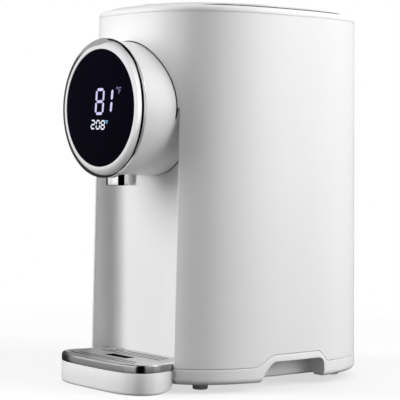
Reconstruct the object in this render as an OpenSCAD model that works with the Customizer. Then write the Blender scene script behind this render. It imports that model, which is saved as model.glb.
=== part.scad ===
// Electric thermo pot: tall squircle body, round head with a turning ring,
// drip tray, hinged lid, steel tank and a pump. Front faces -Y, +Z up, mm.

/* [Body] */
// Width of the body at the floor
body_w = 190; // [188:0.5:192]
// Depth of the body at the floor
body_d = 229.4; // [227:0.2:231]
// Height of the collar rim
rim_z = 321; // [320.6:0.1:321.4]
// Squircle exponent of the plan outline
sq_n = 2.85; // [2.75:0.05:2.95]
// Loss of half width per mm of height
draft = 0.0127; // [0.012:0.0001:0.0134]
// Casing wall
wall = 2.4; // [2.2:0.1:2.5]

/* [Head] */
// Height of the head centre
head_z = 235.3; // [235:0.1:235.6]
// Outer radius of the white barrel
barrel_r = 56.7; // [56.4:0.1:56.8]
// Outer radius of the turning ring
ring_r = 58.7; // [58.4:0.1:59]
// Radius of the display window
lens_r = 48.6; // [48:0.1:48.6]
// Distance of the barrel front from the body centre
barrel_y = 132.1; // [132:0.05:132.15]
// Outer radius of the spout
spout_r = 12.9; // [12.4:0.1:13]
// Height of the spout mouth above the floor
spout_z = 170.3; // [169.5:0.1:171]

/* [Recess] */
// Half width of the cup recess
rec_w = 58.6; // [58.4:0.1:58.7]
// Distance of the recess back from the body centre
rec_y = 81.5; // [81.4:0.05:81.6]
// Radius of the recess corners
rec_r = 16; // [12:0.5:16]

/* [Tray] */
// Height of the tray top
tray_z = 25.4; // [25.2:0.1:25.6]
// Half width of the tray
tray_a = 61.2; // [60.6:0.1:61.8]
// Reach of the tray front from the body centre
tray_reach = 146; // [145:0.5:147]
// Width of a drain slot
slot_w = 1.5; // [1.3:0.1:2]

/* [Base] */
// Height of the seam between casing and base
seam_z0 = 20.2; // [20:0.1:20.4]
// Rise of the seam over the finger notch
arch_h = 9.6; // [9:0.1:10]
// Top of the finger notch
notch_z = 23.9; // [23:0.1:24.2]
// Underside of the base ring
base_z = 7; // [6.8:0.1:7.1]
// Radius of a foot
foot_r = 6.5; // [6:0.1:7]

/* [Hidden] */
$fn = 64;

// The row origin is the middle of the whole footprint, tray included
y_mid = (tray_reach - (body_d / 2 - draft * (base_z + 4))) / 2;
cx_seam = 315.2;          // seam under the collar
tank_y = 17;              // tank axis behind the body centre
tank_r = 75.5;
neck_r = 66;              // fill neck
pump_y = -20;
hinge_y = 94.6;
hinge_z = 318.5;
gap = 0.25;               // half of a panel seam
tray_cy = -112;
tray_b = tray_reach + tray_cy;
tray_n = 3.6;

white = [0.93, 0.93, 0.94];
steel = [0.75, 0.76, 0.78];
chrome = [0.85, 0.86, 0.88];
black = [0.05, 0.05, 0.07];
rubber = [0.72, 0.72, 0.74];
silicone = [0.86, 0.87, 0.88];

// ---------- outlines and lofts
function ha(z) = body_w / 2 - draft * z;
function hb(z) = body_d / 2 - draft * z;
function spow(v, e) = sign(v) * pow(abs(v), e);
function squircle(a, b, n, k) = [for (i = [0:k - 1]) let (t = 360 * i / k)
    [a * spow(cos(t), 2 / n), b * spow(sin(t), 2 / n)]];
function smooth(t) = let (c = min(1, max(0, t))) c * c * (3 - 2 * c);
function seam_at(y) = seam_z0 + arch_h * (smooth((y + 43) / 22) - smooth((y - 28) / 14));
function body_rings(zi) = [for (r = zi) [r[0], ha(r[0]) - r[1], hb(r[0]) - r[1]]];

module place() { translate([0, y_mid, 0]) children(); }

// Solid through horizontal squircle rings [z, a, b], lowest first
module loft(rings, n = sq_n, k = 72, cy = 0) {
    m = len(rings);
    pts = [for (r = rings) for (p = squircle(r[1], r[2], n, k)) [p[0], p[1] + cy, r[0]]];
    faces = concat(
        [[for (i = [0:k - 1]) i]],
        [[for (i = [0:k - 1]) (m - 1) * k + k - 1 - i]],
        [for (j = [0:m - 2]) for (i = [0:k - 1]) let (a = j * k + i, b = j * k + (i + 1) % k) [a, a + k, b + k]],
        [for (j = [0:m - 2]) for (i = [0:k - 1]) let (a = j * k + i, b = j * k + (i + 1) % k) [a, b + k, b]]);
    polyhedron(pts, faces, convexity = 6);
}
// Body-shaped solid from [z, inset] pairs
module body_loft(zi) { loft(body_rings(zi)); }

// Prism along X of a profile drawn in Y, Z
module x_prism(x0, x1) { translate([x0, 0, 0]) rotate([90, 0, 90]) linear_extrude(x1 - x0) children(); }

// Everything below the seam line, raised by g
module below_seam(g) {
    ys = concat([-150, -44], [for (y = [-43:2:-21]) y], [27], [for (y = [28:1.75:42]) y], [43, 150]);
    x_prism(-130, 130) polygon(concat([[-150, -40]], [for (y = ys) [y, seam_at(y) + g]], [[150, -40]]));
}
// Finger notch profile in Y, Z
module notch_profile() {
    polygon(concat([[-40, -5], [-37, 6], [-35, 9], [-33, 13.8], [-30, 17.6]],
        [for (i = [0:4]) let (t = 145 - i * 13) [-19.6 + 9 * cos(t) , notch_z - 9 + 9 * sin(t)]],
        [for (i = [0:6]) let (t = 90 - i * 15) [28.7 + 7 * cos(t), notch_z - 7 + 7 * sin(t)]],
        [[35.7, 9], [37.5, 6], [39, -5]]));
}
// Plan of a U: half width w, back at -y, back corners of radius r
module u_plan(w, y, r) {
    polygon([[-w, -150], [w, -150], [w, -y - r], [w - r, -y], [-w + r, -y], [-w, -y - r]]);
    for (s = [-1, 1]) translate([s * (w - r), -y - r]) circle(r);
}
// Local +Z of the head points out of the front
module head_frame() { translate([0, 0, head_z]) rotate([90, 0, 0]) children(); }
module ring_shape(r0, r1, z0, z1) {
    translate([0, 0, z0]) difference() { cylinder(r = r1, h = z1 - z0); translate([0, 0, -1]) cylinder(r = r0, h = z1 - z0 + 2); }
}

// ---------- casing
module outer_shell() color(white) place() difference() {
    body_loft([[10, 0], [cx_seam - gap, 0]]);
    body_loft([[5, wall], [cx_seam + 5, wall]]);
    below_seam(gap);
    translate([0, 0, -1]) linear_extrude(236.5) u_plan(rec_w + 2.5, rec_y - 40, 1);
    head_frame() cylinder(r = barrel_r + 0.3, h = 140);
    translate([-15.3, 90, 27.9]) cube([30.6, 40, 23.2]);
    // rear vents
    for (i = [0:5]) translate([-24, 95, 62 + i * 7]) cube([48, 40, 2.4]);
}

module front_panel() color(white) place() {
    difference() {
        union() {
            intersection() {
                body_loft([[10, 0], [300, 0]]);
                difference() {
                    translate([0, 0, seam_z0 + gap]) linear_extrude(235.3 - seam_z0 - gap) u_plan(rec_w + 2.2, rec_y - 2.2, rec_r + 2.2);
                    translate([0, 0, -1]) linear_extrude(234) u_plan(rec_w, rec_y, rec_r);
                    translate([-54, -rec_y - 40, 232]) cube([108, 40, 10]);
                }
            }
            translate([-54, -rec_y, 230]) cube([108, 2.2, 66]);
        }
        head_frame() cylinder(r = barrel_r + 0.3, h = 140 - 0);
        head_frame() translate([0, 0, 70]) cylinder(r = 44, h = 40);
        head_frame() for (t = [90, 210, 330]) rotate([0, 0, t]) translate([50, 0, 70]) cylinder(r = 1.8, h = 30, $fn = 32);
    }
    // plate behind the barrel
    difference() {
        head_frame() translate([0, 0, rec_y - 2.2]) cylinder(r = barrel_r + 1.5, h = 2.2);
        head_frame() translate([0, 0, 70]) cylinder(r = 44, h = 40);
        head_frame() for (t = [90, 210, 330]) rotate([0, 0, t]) translate([50, 0, 70]) cylinder(r = 1.8, h = 30, $fn = 32);
    }
}

module top_collar() color(white) place() {
    difference() {
        union() {
            body_loft([[302, 2.8], [cx_seam, 2.8], [cx_seam + gap, 0], [318, 0.1], [319.3, 0.7],
                [320.2, 1.8], [320.8, 3.2], [rim_z, 4.4]]);
        }
        body_loft([[310.5, 5], [rim_z + 5, 5]]);
        body_loft([[300, 5], [308, 5]]);
        translate([0, tank_y, 290]) cylinder(r = neck_r, h = 40);
        // clearance notch in front of the latch tongue
        translate([-10.5, -106.8, 311.6]) cube([21, 6, 20]);
    }
    translate([0, tank_y, 0]) ring_shape(neck_r, neck_r + 2.6, 302.8, 309);
    translate([0, tank_y, 0]) ring_shape(neck_r, 78.8, 302.8, 304.8);
    // rear bridge and hinge eyes
    intersection() {
        body_loft([[300, 4.9], [rim_z, 4.9]]);
        difference() {
            union() {
                translate([-72, 100.8, 309]) cube([144, 30, 8.8]);
                for (s = [-1, 1]) translate([s > 0 ? 37 : -72, 91.6, 309]) cube([35, 20, 8.8]);
            }
            translate([-66, 103, 300]) cube([132, 30, 15.6]);
            for (s = [-1, 1]) translate([s > 0 ? 39.4 : -66, 94, 300]) cube([26.6, 20, 15.6]);
        }
    }
    for (x = [[-36, -25], [-5.5, 5.5], [25, 36]]) difference() {
        union() {
            translate([x[0], hinge_y, hinge_z]) rotate([0, 90, 0]) cylinder(r = 3.6, h = x[1] - x[0]);
            translate([x[0], hinge_y, 309]) cube([x[1] - x[0], 7.5, hinge_z - 309]);
            translate([x[0], hinge_y - 3.6, 309]) cube([x[1] - x[0], 3.6, hinge_z - 309]);
        }
        translate([-50, hinge_y, hinge_z]) rotate([0, 90, 0]) cylinder(r = 1.66, h = 100);
    }
}

module base_ring() color(white) place() difference() {
    union() {
        difference() {
            body_loft([[base_z, 3.4], [base_z + 0.9, 1.7], [base_z + 2.2, 0.6], [base_z + 4, 0], [40, 0]]);
            body_loft([[12, 2.8], [60, 2.8]]);
            body_loft([[-1, 14], [9.9, 14]]);
            body_loft([[-2, 20], [30, 20]]);
        }
        // wall round the tray recess
        intersection() {
            body_loft([[base_z, 3.4], [base_z + 0.9, 1.7], [base_z + 2.2, 0.6], [base_z + 4, 0], [40, 0]]);
            translate([0, 0, base_z]) linear_extrude(20) u_plan(rec_w + 2.4, rec_y - 2.4, rec_r + 2.4);
        }
        // finger pockets
        for (s = [-1, 1]) intersection() {
            body_loft([[base_z, 3.4], [base_z + 0.9, 1.7], [base_z + 2.2, 0.6], [base_z + 4, 0], [40, 0]]);
            translate([s > 0 ? 71.4 : -111.4, -41, base_z]) cube([40, 84, notch_z + 2.4 - base_z]);
        }
        // screw bosses
        for (p = base_screw_xy) translate([p[0], p[1], 10.5]) cylinder(r = 3.4, h = 5.5);
    }
    difference() { translate([-130, -150, 0]) cube([260, 300, 60]); below_seam(-gap); }
    translate([0, 0, -2]) linear_extrude(60) u_plan(rec_w, rec_y, rec_r);
    for (s = [-1, 1]) x_prism(s > 0 ? 73.8 : -120, s > 0 ? 120 : -73.8) notch_profile();
    for (p = base_screw_xy) translate([p[0], p[1], 5]) cylinder(r = 1.5, h = 10.2, $fn = 32);
}

base_screw_xy = [[70, -58], [-70, -58], [60.5, 76], [-60.5, 76], [0, 96.6]];
foot_xy = [[53.3, -69.4], [-53.3, -69.4], [51, 84.5], [-51, 84.5]];

module bottom_cover() color([0.9, 0.9, 0.91]) place() difference() {
    union() {
        body_loft([[base_z + 0.2, 14.4], [base_z + 2.6, 14.4]]);
        for (x = [-34, 34], y = [40, 84]) translate([x, y, 9]) cylinder(r = 3, h = 11);
        translate([0, pump_y, 9]) difference() { cylinder(r = 17.5, h = 6); translate([0, 0, 0.8]) cylinder(r = 15.3, h = 8); }
    }
    translate([0, 0, -2]) linear_extrude(60) u_plan(rec_w + 2.8, rec_y - 2.8, rec_r + 2.8);
    for (s = [-1, 1]) translate([s > 0 ? 71 : -111, -41.4, 0]) cube([40, 84.8, 40]);
    for (p = base_screw_xy) translate([p[0], p[1], 0]) { cylinder(r = 1.8, h = 20, $fn = 32); cylinder(r = 3, h = 8.9, $fn = 32); }
    for (p = foot_xy) translate([p[0], p[1], 0]) cylinder(r = 2.5, h = 20, $fn = 32);
    for (x = [-34, 34], y = [40, 84]) translate([x, y, 11]) cylinder(r = 1.25, h = 20, $fn = 32);
    for (i = [-3:3]) translate([i * 8 - 1.2, 5, 0]) cube([2.4, 22, 20]);
}

module base_screws() color(steel) place() for (p = base_screw_xy) translate([p[0], p[1], 0]) difference() {
    union() { translate([0, 0, base_z + 0.5]) cylinder(r = 2.7, h = 1.35, $fn = 32); translate([0, 0, 8]) cylinder(r = 1.43, h = 6.5, $fn = 32); }
    translate([0, 0, base_z + 0.4]) { translate([-1.8, -0.3, 0]) cube([3.6, 0.6, 0.8]); translate([-0.3, -1.8, 0]) cube([0.6, 3.6, 0.8]); }
}

module feet() color(rubber) place() for (p = foot_xy) translate([p[0], p[1], 0]) {
    rotate_extrude() polygon([[0, 0], [foot_r - 0.8, 0], [foot_r, 0.8], [foot_r, base_z - 0.05], [0, base_z - 0.05]]);
    translate([0, 0, base_z - 0.2]) cylinder(r = 2.44, h = 3, $fn = 32);
}

// ---------- water side
module tank() color(steel) place() translate([0, tank_y, 0]) {
  translate([0, pump_y - tank_y, 53]) hose_ring(2.8, 3.92, 13.5);
  difference() {
    rotate_extrude($fn = 96) polygon([[0, 66], [70, 66], [tank_r, 71], [tank_r, 298.4], [79, 298.4], [79, 300],
        [tank_r - 1.2, 300], [tank_r - 1.2, 71.6], [69.6, 67.2], [0, 67.2]]);
    translate([0, pump_y - tank_y, 60]) cylinder(r = 2.8, h = 12, $fn = 48);
    translate([0, 30, 60]) cylinder(r = 4.1, h = 12, $fn = 48);
  }
}

module tank_gasket() color(silicone) place() translate([0, tank_y, 0]) ring_shape(72.2, 78.5, 300.1, 302.7);

module tank_support() color([0.82, 0.83, 0.85]) place() {
    translate([0, tank_y, 0]) ring_shape(63, 69.5, 60.5, 65.9);
    for (x = [-48.5, 48.5], y = [tank_y - 48.5, tank_y + 48.5]) difference() {
        union() {
            translate([x - 5, y - 5, 9.8]) cube([10, 10, 52]);
            translate([x - 8, y - 8, 9.8]) cube([16, 16, 2]);
        }
        translate([x - 3.4, y - 3.4, 14]) cube([6.8, 6.8, 44]);
        translate([x - 3.4, y - 20, 16]) cube([6.8, 40, 40]);
    }
}

module heater_plate() color([0.7, 0.7, 0.72]) place() translate([0, tank_y, 0]) difference() {
    union() {
        translate([0, 0, 62]) cylinder(r = 58, h = 3.8);
        // cast-in element ring
        translate([0, 0, 61.4]) rotate_extrude($fn = 64) translate([52, 0]) circle(r = 3.2, $fn = 24);
        for (s = [-1, 1]) translate([s * 8, 51.4, 54]) cylinder(r = 1.6, h = 8, $fn = 24);
    }
    translate([0, pump_y - tank_y, 50]) cylinder(r = 6.4, h = 20);
    translate([0, 30, 50]) cylinder(r = 6.5, h = 20);
    for (s = [-1, 1]) translate([s * 25, 0, 50]) cylinder(r = 1.6, h = 20, $fn = 24);
}

module thermostats() color([0.35, 0.3, 0.28]) place() for (s = [-1, 1]) translate([s * 25, tank_y, 0]) {
    difference() {
        union() { translate([0, 0, 55]) cylinder(r = 8, h = 5.2); translate([0, 0, 60]) cylinder(r = 6.5, h = 1.85); }
        translate([0, 0, 54]) cylinder(r = 4, h = 1.8);
    }
    for (k = [-1, 1]) translate([k * 5.4 - 1.5, -0.4, 50.5]) cube([3, 0.8, 4.6]);
}

module water_sensor() color(steel) place() translate([0, tank_y + 30, 0]) {
    cylinder_at(54, 60, 6, 6);
    translate([0, 0, 60]) cylinder(r = 4.02, h = 12, $fn = 48);
    translate([0, 0, 72]) sphere(r = 4.0, $fn = 32);
}
module cylinder_at(z0, z1, r, n) { translate([0, 0, z0]) cylinder(r = r, h = z1 - z0, $fn = n); }

module suction_hose() color(silicone) place() translate([0, pump_y, 0]) ring_shape(4, 5.4, 46.4, 59.4);

module pump_housing() color([0.2, 0.21, 0.22]) place() translate([0, pump_y, 0]) difference() {
    union() {
        translate([0, 0, 34.2]) cylinder(r = 19, h = 12);
        translate([0, 0, 46]) cylinder(r = 3.92, h = 5.5, $fn = 48);
        translate([0, -16, 40]) rotate([90, 0, 0]) cylinder(r = 3.92, h = 12, $fn = 48);
        for (t = [45, 135, 225, 315]) rotate([0, 0, t]) translate([20.5, 0, 34.2]) cylinder(r = 3, h = 5, $fn = 32);
    }
    translate([0, 0, 30]) cylinder(r = 16, h = 14);
    translate([0, 0, 40]) cylinder(r = 2.8, h = 20, $fn = 32);
    translate([0, -10, 40]) rotate([90, 0, 0]) cylinder(r = 2.8, h = 40, $fn = 32);
}

module pump_cover() color([0.25, 0.26, 0.27]) place() translate([0, pump_y, 0]) difference() {
    union() {
        translate([0, 0, 31]) cylinder(r = 19, h = 3);
        translate([0, 0, 33]) cylinder(r = 15.9, h = 2.2);
        for (t = [45, 135, 225, 315]) rotate([0, 0, t]) translate([20.5, 0, 31]) cylinder(r = 3, h = 3, $fn = 32);
        cylinder_at(34, 43, 1.5, 32);
    }
    for (t = [45, 135, 225, 315]) rotate([0, 0, t]) translate([20.5, 0, 20]) cylinder(r = 1.2, h = 30, $fn = 24);
}

module pump_impeller() color([0.85, 0.86, 0.84]) place() translate([0, pump_y, 0]) difference() {
    union() {
        cylinder_at(36, 37.6, 14, 64);
        cylinder_at(36, 42.6, 4, 48);
        for (i = [0:5]) rotate([0, 0, i * 60]) translate([3, -0.7, 36.5]) rotate([0, 0, 12]) cube([10.5, 1.4, 5]);
    }
    cylinder_at(30, 50, 1.56, 32);
}

module pump_motor() color([0.55, 0.56, 0.58]) place() translate([0, pump_y, 0]) {
    cylinder_at(10, 30.9, 15, 64);
    for (s = [-1, 1]) translate([s * 6 - 1, 15.2 - 1.5, 20]) cube([2, 4, 0.8]);
}

module hose_bend(r, ri, ro) { rotate_extrude(angle = 90, $fn = 64) translate([r, 0]) difference() { circle(r = ro, $fn = 32); circle(r = ri, $fn = 32); } }
module hose_ring(ri, ro, h) { difference() { cylinder(r = ro, h = h, $fn = 32); translate([0, 0, -1]) cylinder(r = ri, h = h + 2, $fn = 32); } }

module discharge_hose() color(silicone) place() {
    translate([0, -39.4, 40]) rotate([90, 0, 0]) hose_ring(4, 5.4, 17.6);
    translate([0, -57, 50]) rotate([0, -90, 0]) rotate([0, 0, 180]) hose_bend(10, 4, 5.4);
    translate([0, -67, 50]) hose_ring(4, 5.4, 6);
}

module riser_tube() color([0.9, 0.9, 0.88]) place() {
    translate([0, -67, 50.4]) hose_ring(2.8, 3.92, 139.6);
    translate([0, -67, 56.4]) hose_ring(3.9, 5, 2);
    translate([0, -77, 190]) rotate([90, 0, 90]) hose_bend(10, 2.8, 3.92);
    translate([0, -77, 200]) rotate([90, 0, 0]) hose_ring(2.8, 3.92, 28);
    translate([0, -105, 190]) rotate([90, 0, 90]) rotate([0, 0, 90]) hose_bend(10, 2.8, 3.92);
    translate([0, -115, 185]) hose_ring(2.8, 3.92, 5);
}

module clamp_ring(r) {
    difference() {
        union() { cylinder(r = r + 0.9, h = 4, $fn = 48); translate([r, -1.8, 0]) cube([4, 3.6, 4]); }
        translate([0, 0, -1]) cylinder(r = r, h = 6, $fn = 48);
        translate([r - 1, -0.4, -1]) cube([6, 0.8, 6]);
    }
}
module hose_clamps() color(steel) place() {
    translate([0, pump_y, 47.4]) clamp_ring(5.45);
    translate([0, pump_y, 54.4]) clamp_ring(5.45);
    translate([0, -41, 40]) rotate([90, 0, 0]) clamp_ring(5.45);
    translate([0, -67, 51]) clamp_ring(5.45);
}

module spout() color(chrome) place() translate([0, -115, 0]) rotate_extrude() polygon([[10.6, spout_z + 0.5], [11.1, spout_z],
    [spout_r - 0.5, spout_z], [spout_r, spout_z + 0.5], [spout_r, 184.7], [14.5, 184.7], [14.5, 186.3], [10.6, 186.3]]);

module spout_nozzle() color([0.3, 0.31, 0.33]) place() translate([0, -115, 0]) rotate_extrude() polygon([[4, spout_z + 1.2],
    [10.3, spout_z + 1.2], [10.3, 184], [4.2, 184.6], [4.2, 184.6], [2.6, 184.6], [2.6, 178], [4, 174]]);

// ---------- head
module head_barrel() color(white) place() difference() {
    head_frame() rotate_extrude($fn = 120) polygon([[42.5, rec_y + 0.4], [barrel_r, rec_y + 0.4], [barrel_r, barrel_y - 0.5],
        [barrel_r - 0.5, barrel_y], [49, barrel_y], [49, barrel_y - 2.4], [barrel_r - 2.5, barrel_y - 2.4],
        [barrel_r - 2.5, rec_y + 3], [42.5, rec_y + 3]]);
    translate([0, -115, 160]) cylinder(r = spout_r + 0.35, h = 40);
    head_frame() for (t = [90, 210, 330]) rotate([0, 0, t]) translate([50, 0, 70]) cylinder(r = 1.5, h = 30, $fn = 32);
}

module head_screws() color(steel) place() head_frame() for (t = [90, 210, 330]) rotate([0, 0, t]) translate([50, 0, 0]) {
    translate([0, 0, rec_y - 4]) cylinder(r = 2.7, h = 1.7, $fn = 32);
    translate([0, 0, rec_y - 3]) cylinder(r = 1.43, h = 9, $fn = 32);
}

module dial_bearing() color([0.88, 0.88, 0.89]) place() head_frame() rotate_extrude($fn = 96)
    polygon([[49, barrel_y + 0.02], [51.6, barrel_y + 0.02], [51.6, 136.2], [49, 136.2]]);

module dial_ring() color(chrome) place() head_frame() difference() {
    rotate_extrude($fn = 128) polygon(concat(
        [[51.68, 132.5], [ring_r - 0.5, 132.5], [ring_r - 0.1, 132.8], [ring_r - 0.1, 133.1], [ring_r - 0.6, 133.2], [ring_r - 0.6, 133.45], [ring_r, 133.55]],
        [for (i = [0:7]) let (t = i * 90 / 8) [ring_r - 5.4 + 5.4 * cos(t), 133.6 + 5.2 * sin(t)]],
        [for (i = [0:5]) let (t = 90 + i * 90 / 5) [ring_r - 5.4 + 4.4 * cos(t) , 137.2 + 1.6 * sin(t)]],
        [[lens_r + 0.3, 136.9], [lens_r + 0.3, 136.5], [51.68, 136.5]]));
    // finger grooves on the inner rear land
    for (i = [0:23]) rotate([0, 0, i * 15]) translate([56.2, -0.4, 132.2]) cube([1, 0.8, 0.7]);
}

module display_lens() color(black) place() head_frame() rotate_extrude($fn = 128)
    polygon([[0, 135.7], [lens_r - 0.2, 135.7], [lens_r, 135.9], [lens_r, 137.5], [lens_r - 0.3, 137.8], [0, 137.8]]);

module lens_carrier() color([0.15, 0.15, 0.17]) place() head_frame() difference() {
    union() {
        translate([0, 0, 133.7]) cylinder(r = 47.3, h = 1.95);
        ring_shape(44.5, 47.3, 126.6, 134);
        // cross bar and plunger behind the board
        intersection() { translate([-50, -4, 126.6]) cube([100, 8, 2.2]); cylinder(r = 47.3, h = 150); }
        translate([0, 0, 124]) cylinder(r = 3.6, h = 3.6, $fn = 32);
        for (t = [30, 150, 270]) rotate([0, 0, t]) translate([38, 0, 131]) cylinder(r = 2.5, h = 3, $fn = 32);
    }
    translate([-24, -22, 133]) cube([48, 44, 4]);
}

module display_board() color([0.1, 0.3, 0.18]) place() head_frame() {
    translate([0, 0, 129.3]) cylinder(r = 43.8, h = 1.6);
    difference() {
        translate([-23, -20, 130.8]) cube([46, 40, 4.7]);
        translate([-21, -18, 132.9]) cube([42, 36, 4]);
    }
}

// One slanted seven-segment digit: size w by h, stroke t, lit segments
seg_on = [[1,1,1,1,1,1,0], [0,1,1,0,0,0,0], [1,1,0,1,1,0,1], [1,1,1,1,0,0,1], [0,1,1,0,0,1,1],
    [1,0,1,1,0,1,1], [1,0,1,1,1,1,1], [1,1,1,0,0,0,0], [1,1,1,1,1,1,1], [1,1,1,1,0,1,1]];
module seg_bar(x0, y0, x1, y1, t, sl) {
    l = sqrt((x1 - x0) * (x1 - x0) + (y1 - y0) * (y1 - y0));
    ux = (x1 - x0) / l; uy = (y1 - y0) / l; g = t * 0.16; e = t / 2;
    p = [[g, 0], [g + e, e], [l - g - e, e], [l - g, 0], [l - g - e, -e], [g + e, -e]];
    polygon([for (q = p) let (x = x0 + ux * q[0] - uy * q[1], y = y0 + uy * q[0] + ux * q[1]) [x + sl * y, y]]);
}
module digit(d, w, h, t, sl) {
    s = seg_on[d]; m = h / 2;
    if (s[0]) seg_bar(0, h, w, h, t, sl);
    if (s[1]) seg_bar(w, m, w, h, t, sl);
    if (s[2]) seg_bar(w, 0, w, m, t, sl);
    if (s[3]) seg_bar(0, 0, w, 0, t, sl);
    if (s[4]) seg_bar(0, 0, 0, m, t, sl);
    if (s[5]) seg_bar(0, m, 0, h, t, sl);
    if (s[6]) seg_bar(0, m, w, m, t, sl);
}
module display_digits() color([0.85, 0.82, 1]) place() translate([0, -137.83, head_z]) rotate([90, 0, 0]) linear_extrude(0.12) {
    translate([-6.3, -4.6]) digit(8, 10.2, 20, 2.8, 0.09);
    translate([4.6, -2.9]) digit(1, 10.2, 17.6, 2.6, 0.14);
    translate([-12.6, -17.2]) digit(2, 4.8, 6.8, 1.3, 0.1);
    translate([-5.4, -17.4]) digit(0, 4.8, 6.8, 1.3, 0.1);
    translate([1.6, -17.6]) digit(8, 4.8, 6.8, 1.3, 0.1);
    // degree dots and unit bars
    translate([24.3, 16.2]) difference() { circle(r = 1.1, $fn = 24); circle(r = 0.5, $fn = 24); }
    translate([26.6, 11.4]) { square([0.8, 5.4]); translate([0, 4.6]) square([3.6, 0.8]); translate([0, 2.4]) square([2.8, 0.8]); }
    translate([8.3, -11]) circle(r = 0.6, $fn = 24);
    translate([9.6, -13.4]) { square([0.6, 3]); translate([0, 2.4]) square([2.2, 0.6]); translate([0, 1.2]) square([1.7, 0.6]); }
}

module head_board() color([0.1, 0.3, 0.18]) place() head_frame() {
    difference() {
        translate([-36, -22, 115.5]) cube([72, 50, 1.6]);
        for (s = [-1, 1]) translate([s * 31, 3, 100]) cylinder(r = 1.6, h = 30, $fn = 24);
    }
    translate([-28, 12, 112]) cube([14, 10, 3.5]);
    translate([14, 8, 113]) cube([10, 10, 2.5]);
    // posts back to the head plate
    for (s = [-1, 1]) translate([s * 31, 3, 0]) {
        translate([0, 0, 85]) cylinder(r = 1.5, h = 33.5, $fn = 32);
        translate([0, 0, 85]) cylinder(r = 3, h = 30.5, $fn = 32);
    }
    for (s = [-1, 1]) translate([s > 0 ? 28 : -46, 0, 84.6]) cube([18, 6, 2]);
}

module press_switch() color([0.12, 0.12, 0.13]) place() head_frame() {
    translate([-3, -3, 117.15]) cube([6, 6, 3.5]);
    translate([0, 0, 120.5]) cylinder(r = 1.7, h = 2.1, $fn = 32);
}

// ---------- mains side
module power_board() color([0.12, 0.33, 0.2]) place() {
    difference() {
        translate([-39, 34, 20.2]) cube([78, 56, 1.6]);
        for (x = [-34, 34], y = [40, 84]) translate([x, y, 10]) cylinder(r = 1.6, h = 20, $fn = 24);
    }
    translate([-28, 46, 21.8]) cube([22, 18, 16]);
    translate([2, 62, 21.8]) cube([12, 16, 15]);
    translate([20, 60, 21.8]) cylinder(r = 5, h = 18, $fn = 32);
    translate([24, 44, 21.8]) cube([6, 14, 12]);
    translate([0, 44, 21.8]) cube([14, 10, 3]);
}

module board_screws() color(steel) place() for (x = [-34, 34], y = [40, 84]) translate([x, y, 0]) {
    translate([0, 0, 21.9]) cylinder(r = 2.4, h = 1.5, $fn = 32);
    translate([0, 0, 13]) cylinder(r = 1.2, h = 9, $fn = 32);
}

module power_inlet() color([0.13, 0.13, 0.14]) place() {
    difference() {
        translate([-15, 92.5, 28.2]) cube([30, 21.1, 22.6]);
        translate([-12.2, 98, 31.2]) cube([24.4, 30, 16.6]);
    }
    for (x = [-5, 5]) translate([x - 1, 90, 40]) cube([2, 21, 4.4]);
}

// ---------- lid
module lid_outer() body_loft([[311, 6], [319.9, 6], [321, 6.4], [322, 7.6], [323, 10.5], [324, 17], [324.9, 28], [325.6, 42], [325.9, 54]]);
module lid_shell() color(white) place() {
    difference() {
        intersection() { lid_outer(); translate([-100, -130, 300]) cube([200, 130 + 90.6, 40]); }
        difference() {
            body_loft([[310, 8.2], [318.6, 8.2], [320.6, 12], [321.6, 20], [322.3, 34], [322.6, 50]]);
            translate([-100, 88.2, 300]) cube([200, 60, 40]);
            // latch shelf
            translate([-16, -120, 311]) cube([32, 41, 1.2]);
        }
        // seat of the centre cap
        loft([[324.4, 58.3, 58.3], [330, 58.3, 58.3]], 2.3, 72, 8);
        // steam duct
        translate([0, 45, 300]) cylinder(r = 8.4, h = 40);
        // button and tongue windows
        translate([-11.4, -97.4, 318]) cube([22.8, 18.8, 12]);
        translate([-9.4, -120, 312.2]) cube([18.8, 20, 2.5]);
    }
    // liner bosses
    for (t = [45, 135, 225, 315]) translate([0, tank_y, 0]) rotate([0, 0, t]) translate([50, 0, 0])
        translate([0, 0, 306.4]) difference() { cylinder(r = 3.2, h = 16.8, $fn = 32); translate([0, 0, -1]) cylinder(r = 1.25, h = 9, $fn = 32); }
    // hinge eyes
    for (x = [[-24.4, -6.1], [6.1, 24.4]]) difference() {
        union() {
            translate([x[0], hinge_y, hinge_z]) rotate([0, 90, 0]) cylinder(r = 3.4, h = x[1] - x[0]);
            translate([x[0], 88.4, hinge_z - 3.4]) cube([x[1] - x[0], hinge_y - 88.4, 5.6]);
        }
        translate([-50, hinge_y, hinge_z]) rotate([0, 90, 0]) cylinder(r = 1.66, h = 100);
    }
}

module lid_cap() color([0.95, 0.95, 0.96]) place() difference() {
    loft([[324.5, 58, 58], [326, 58, 58], [326.5, 57.4, 57.4], [326.9, 56.2, 56.2], [327.2, 53, 53]], 2.3, 72, 8);
    for (i = [-2:2]) translate([-9, 45 + i * 3.2 - 0.8, 320]) cube([18, 1.6, 10]);
}

module lid_liner() color([0.88, 0.88, 0.88]) place() translate([0, tank_y, 0]) difference() {
    union() {
        translate([0, 0, 312.7]) cylinder(r = 70, h = 1.8);
        translate([0, 0, 304.2]) cylinder(r = 61, h = 9);
    }
    translate([0, 0, 306.2]) cylinder(r = 59, h = 20);
    translate([0, 45 - tank_y, 300]) cylinder(r = 4, h = 10, $fn = 32);
    for (t = [45, 135, 225, 315]) rotate([0, 0, t]) translate([50, 0, 300]) cylinder(r = 1.6, h = 30, $fn = 24);
}

module lid_gasket() color(silicone) place() translate([0, tank_y, 0]) {
    ring_shape(61.3, 69.6, 311.4, 312.6);
    ring_shape(67.4, 69.6, 310.8, 311.6);
}

module steam_baffle() color([0.86, 0.86, 0.87]) place() translate([0, 45, 0]) difference() {
    union() { cylinder_at(306.4, 324.2, 8, 48); cylinder_at(306.4, 308, 11, 48); }
    cylinder_at(308, 330, 6.4, 48);
    cylinder_at(300, 310, 3, 32);
    for (t = [0, 90]) rotate([0, 0, t]) translate([-20, -1.5, 309]) cube([40, 3, 4]);
}

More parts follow.
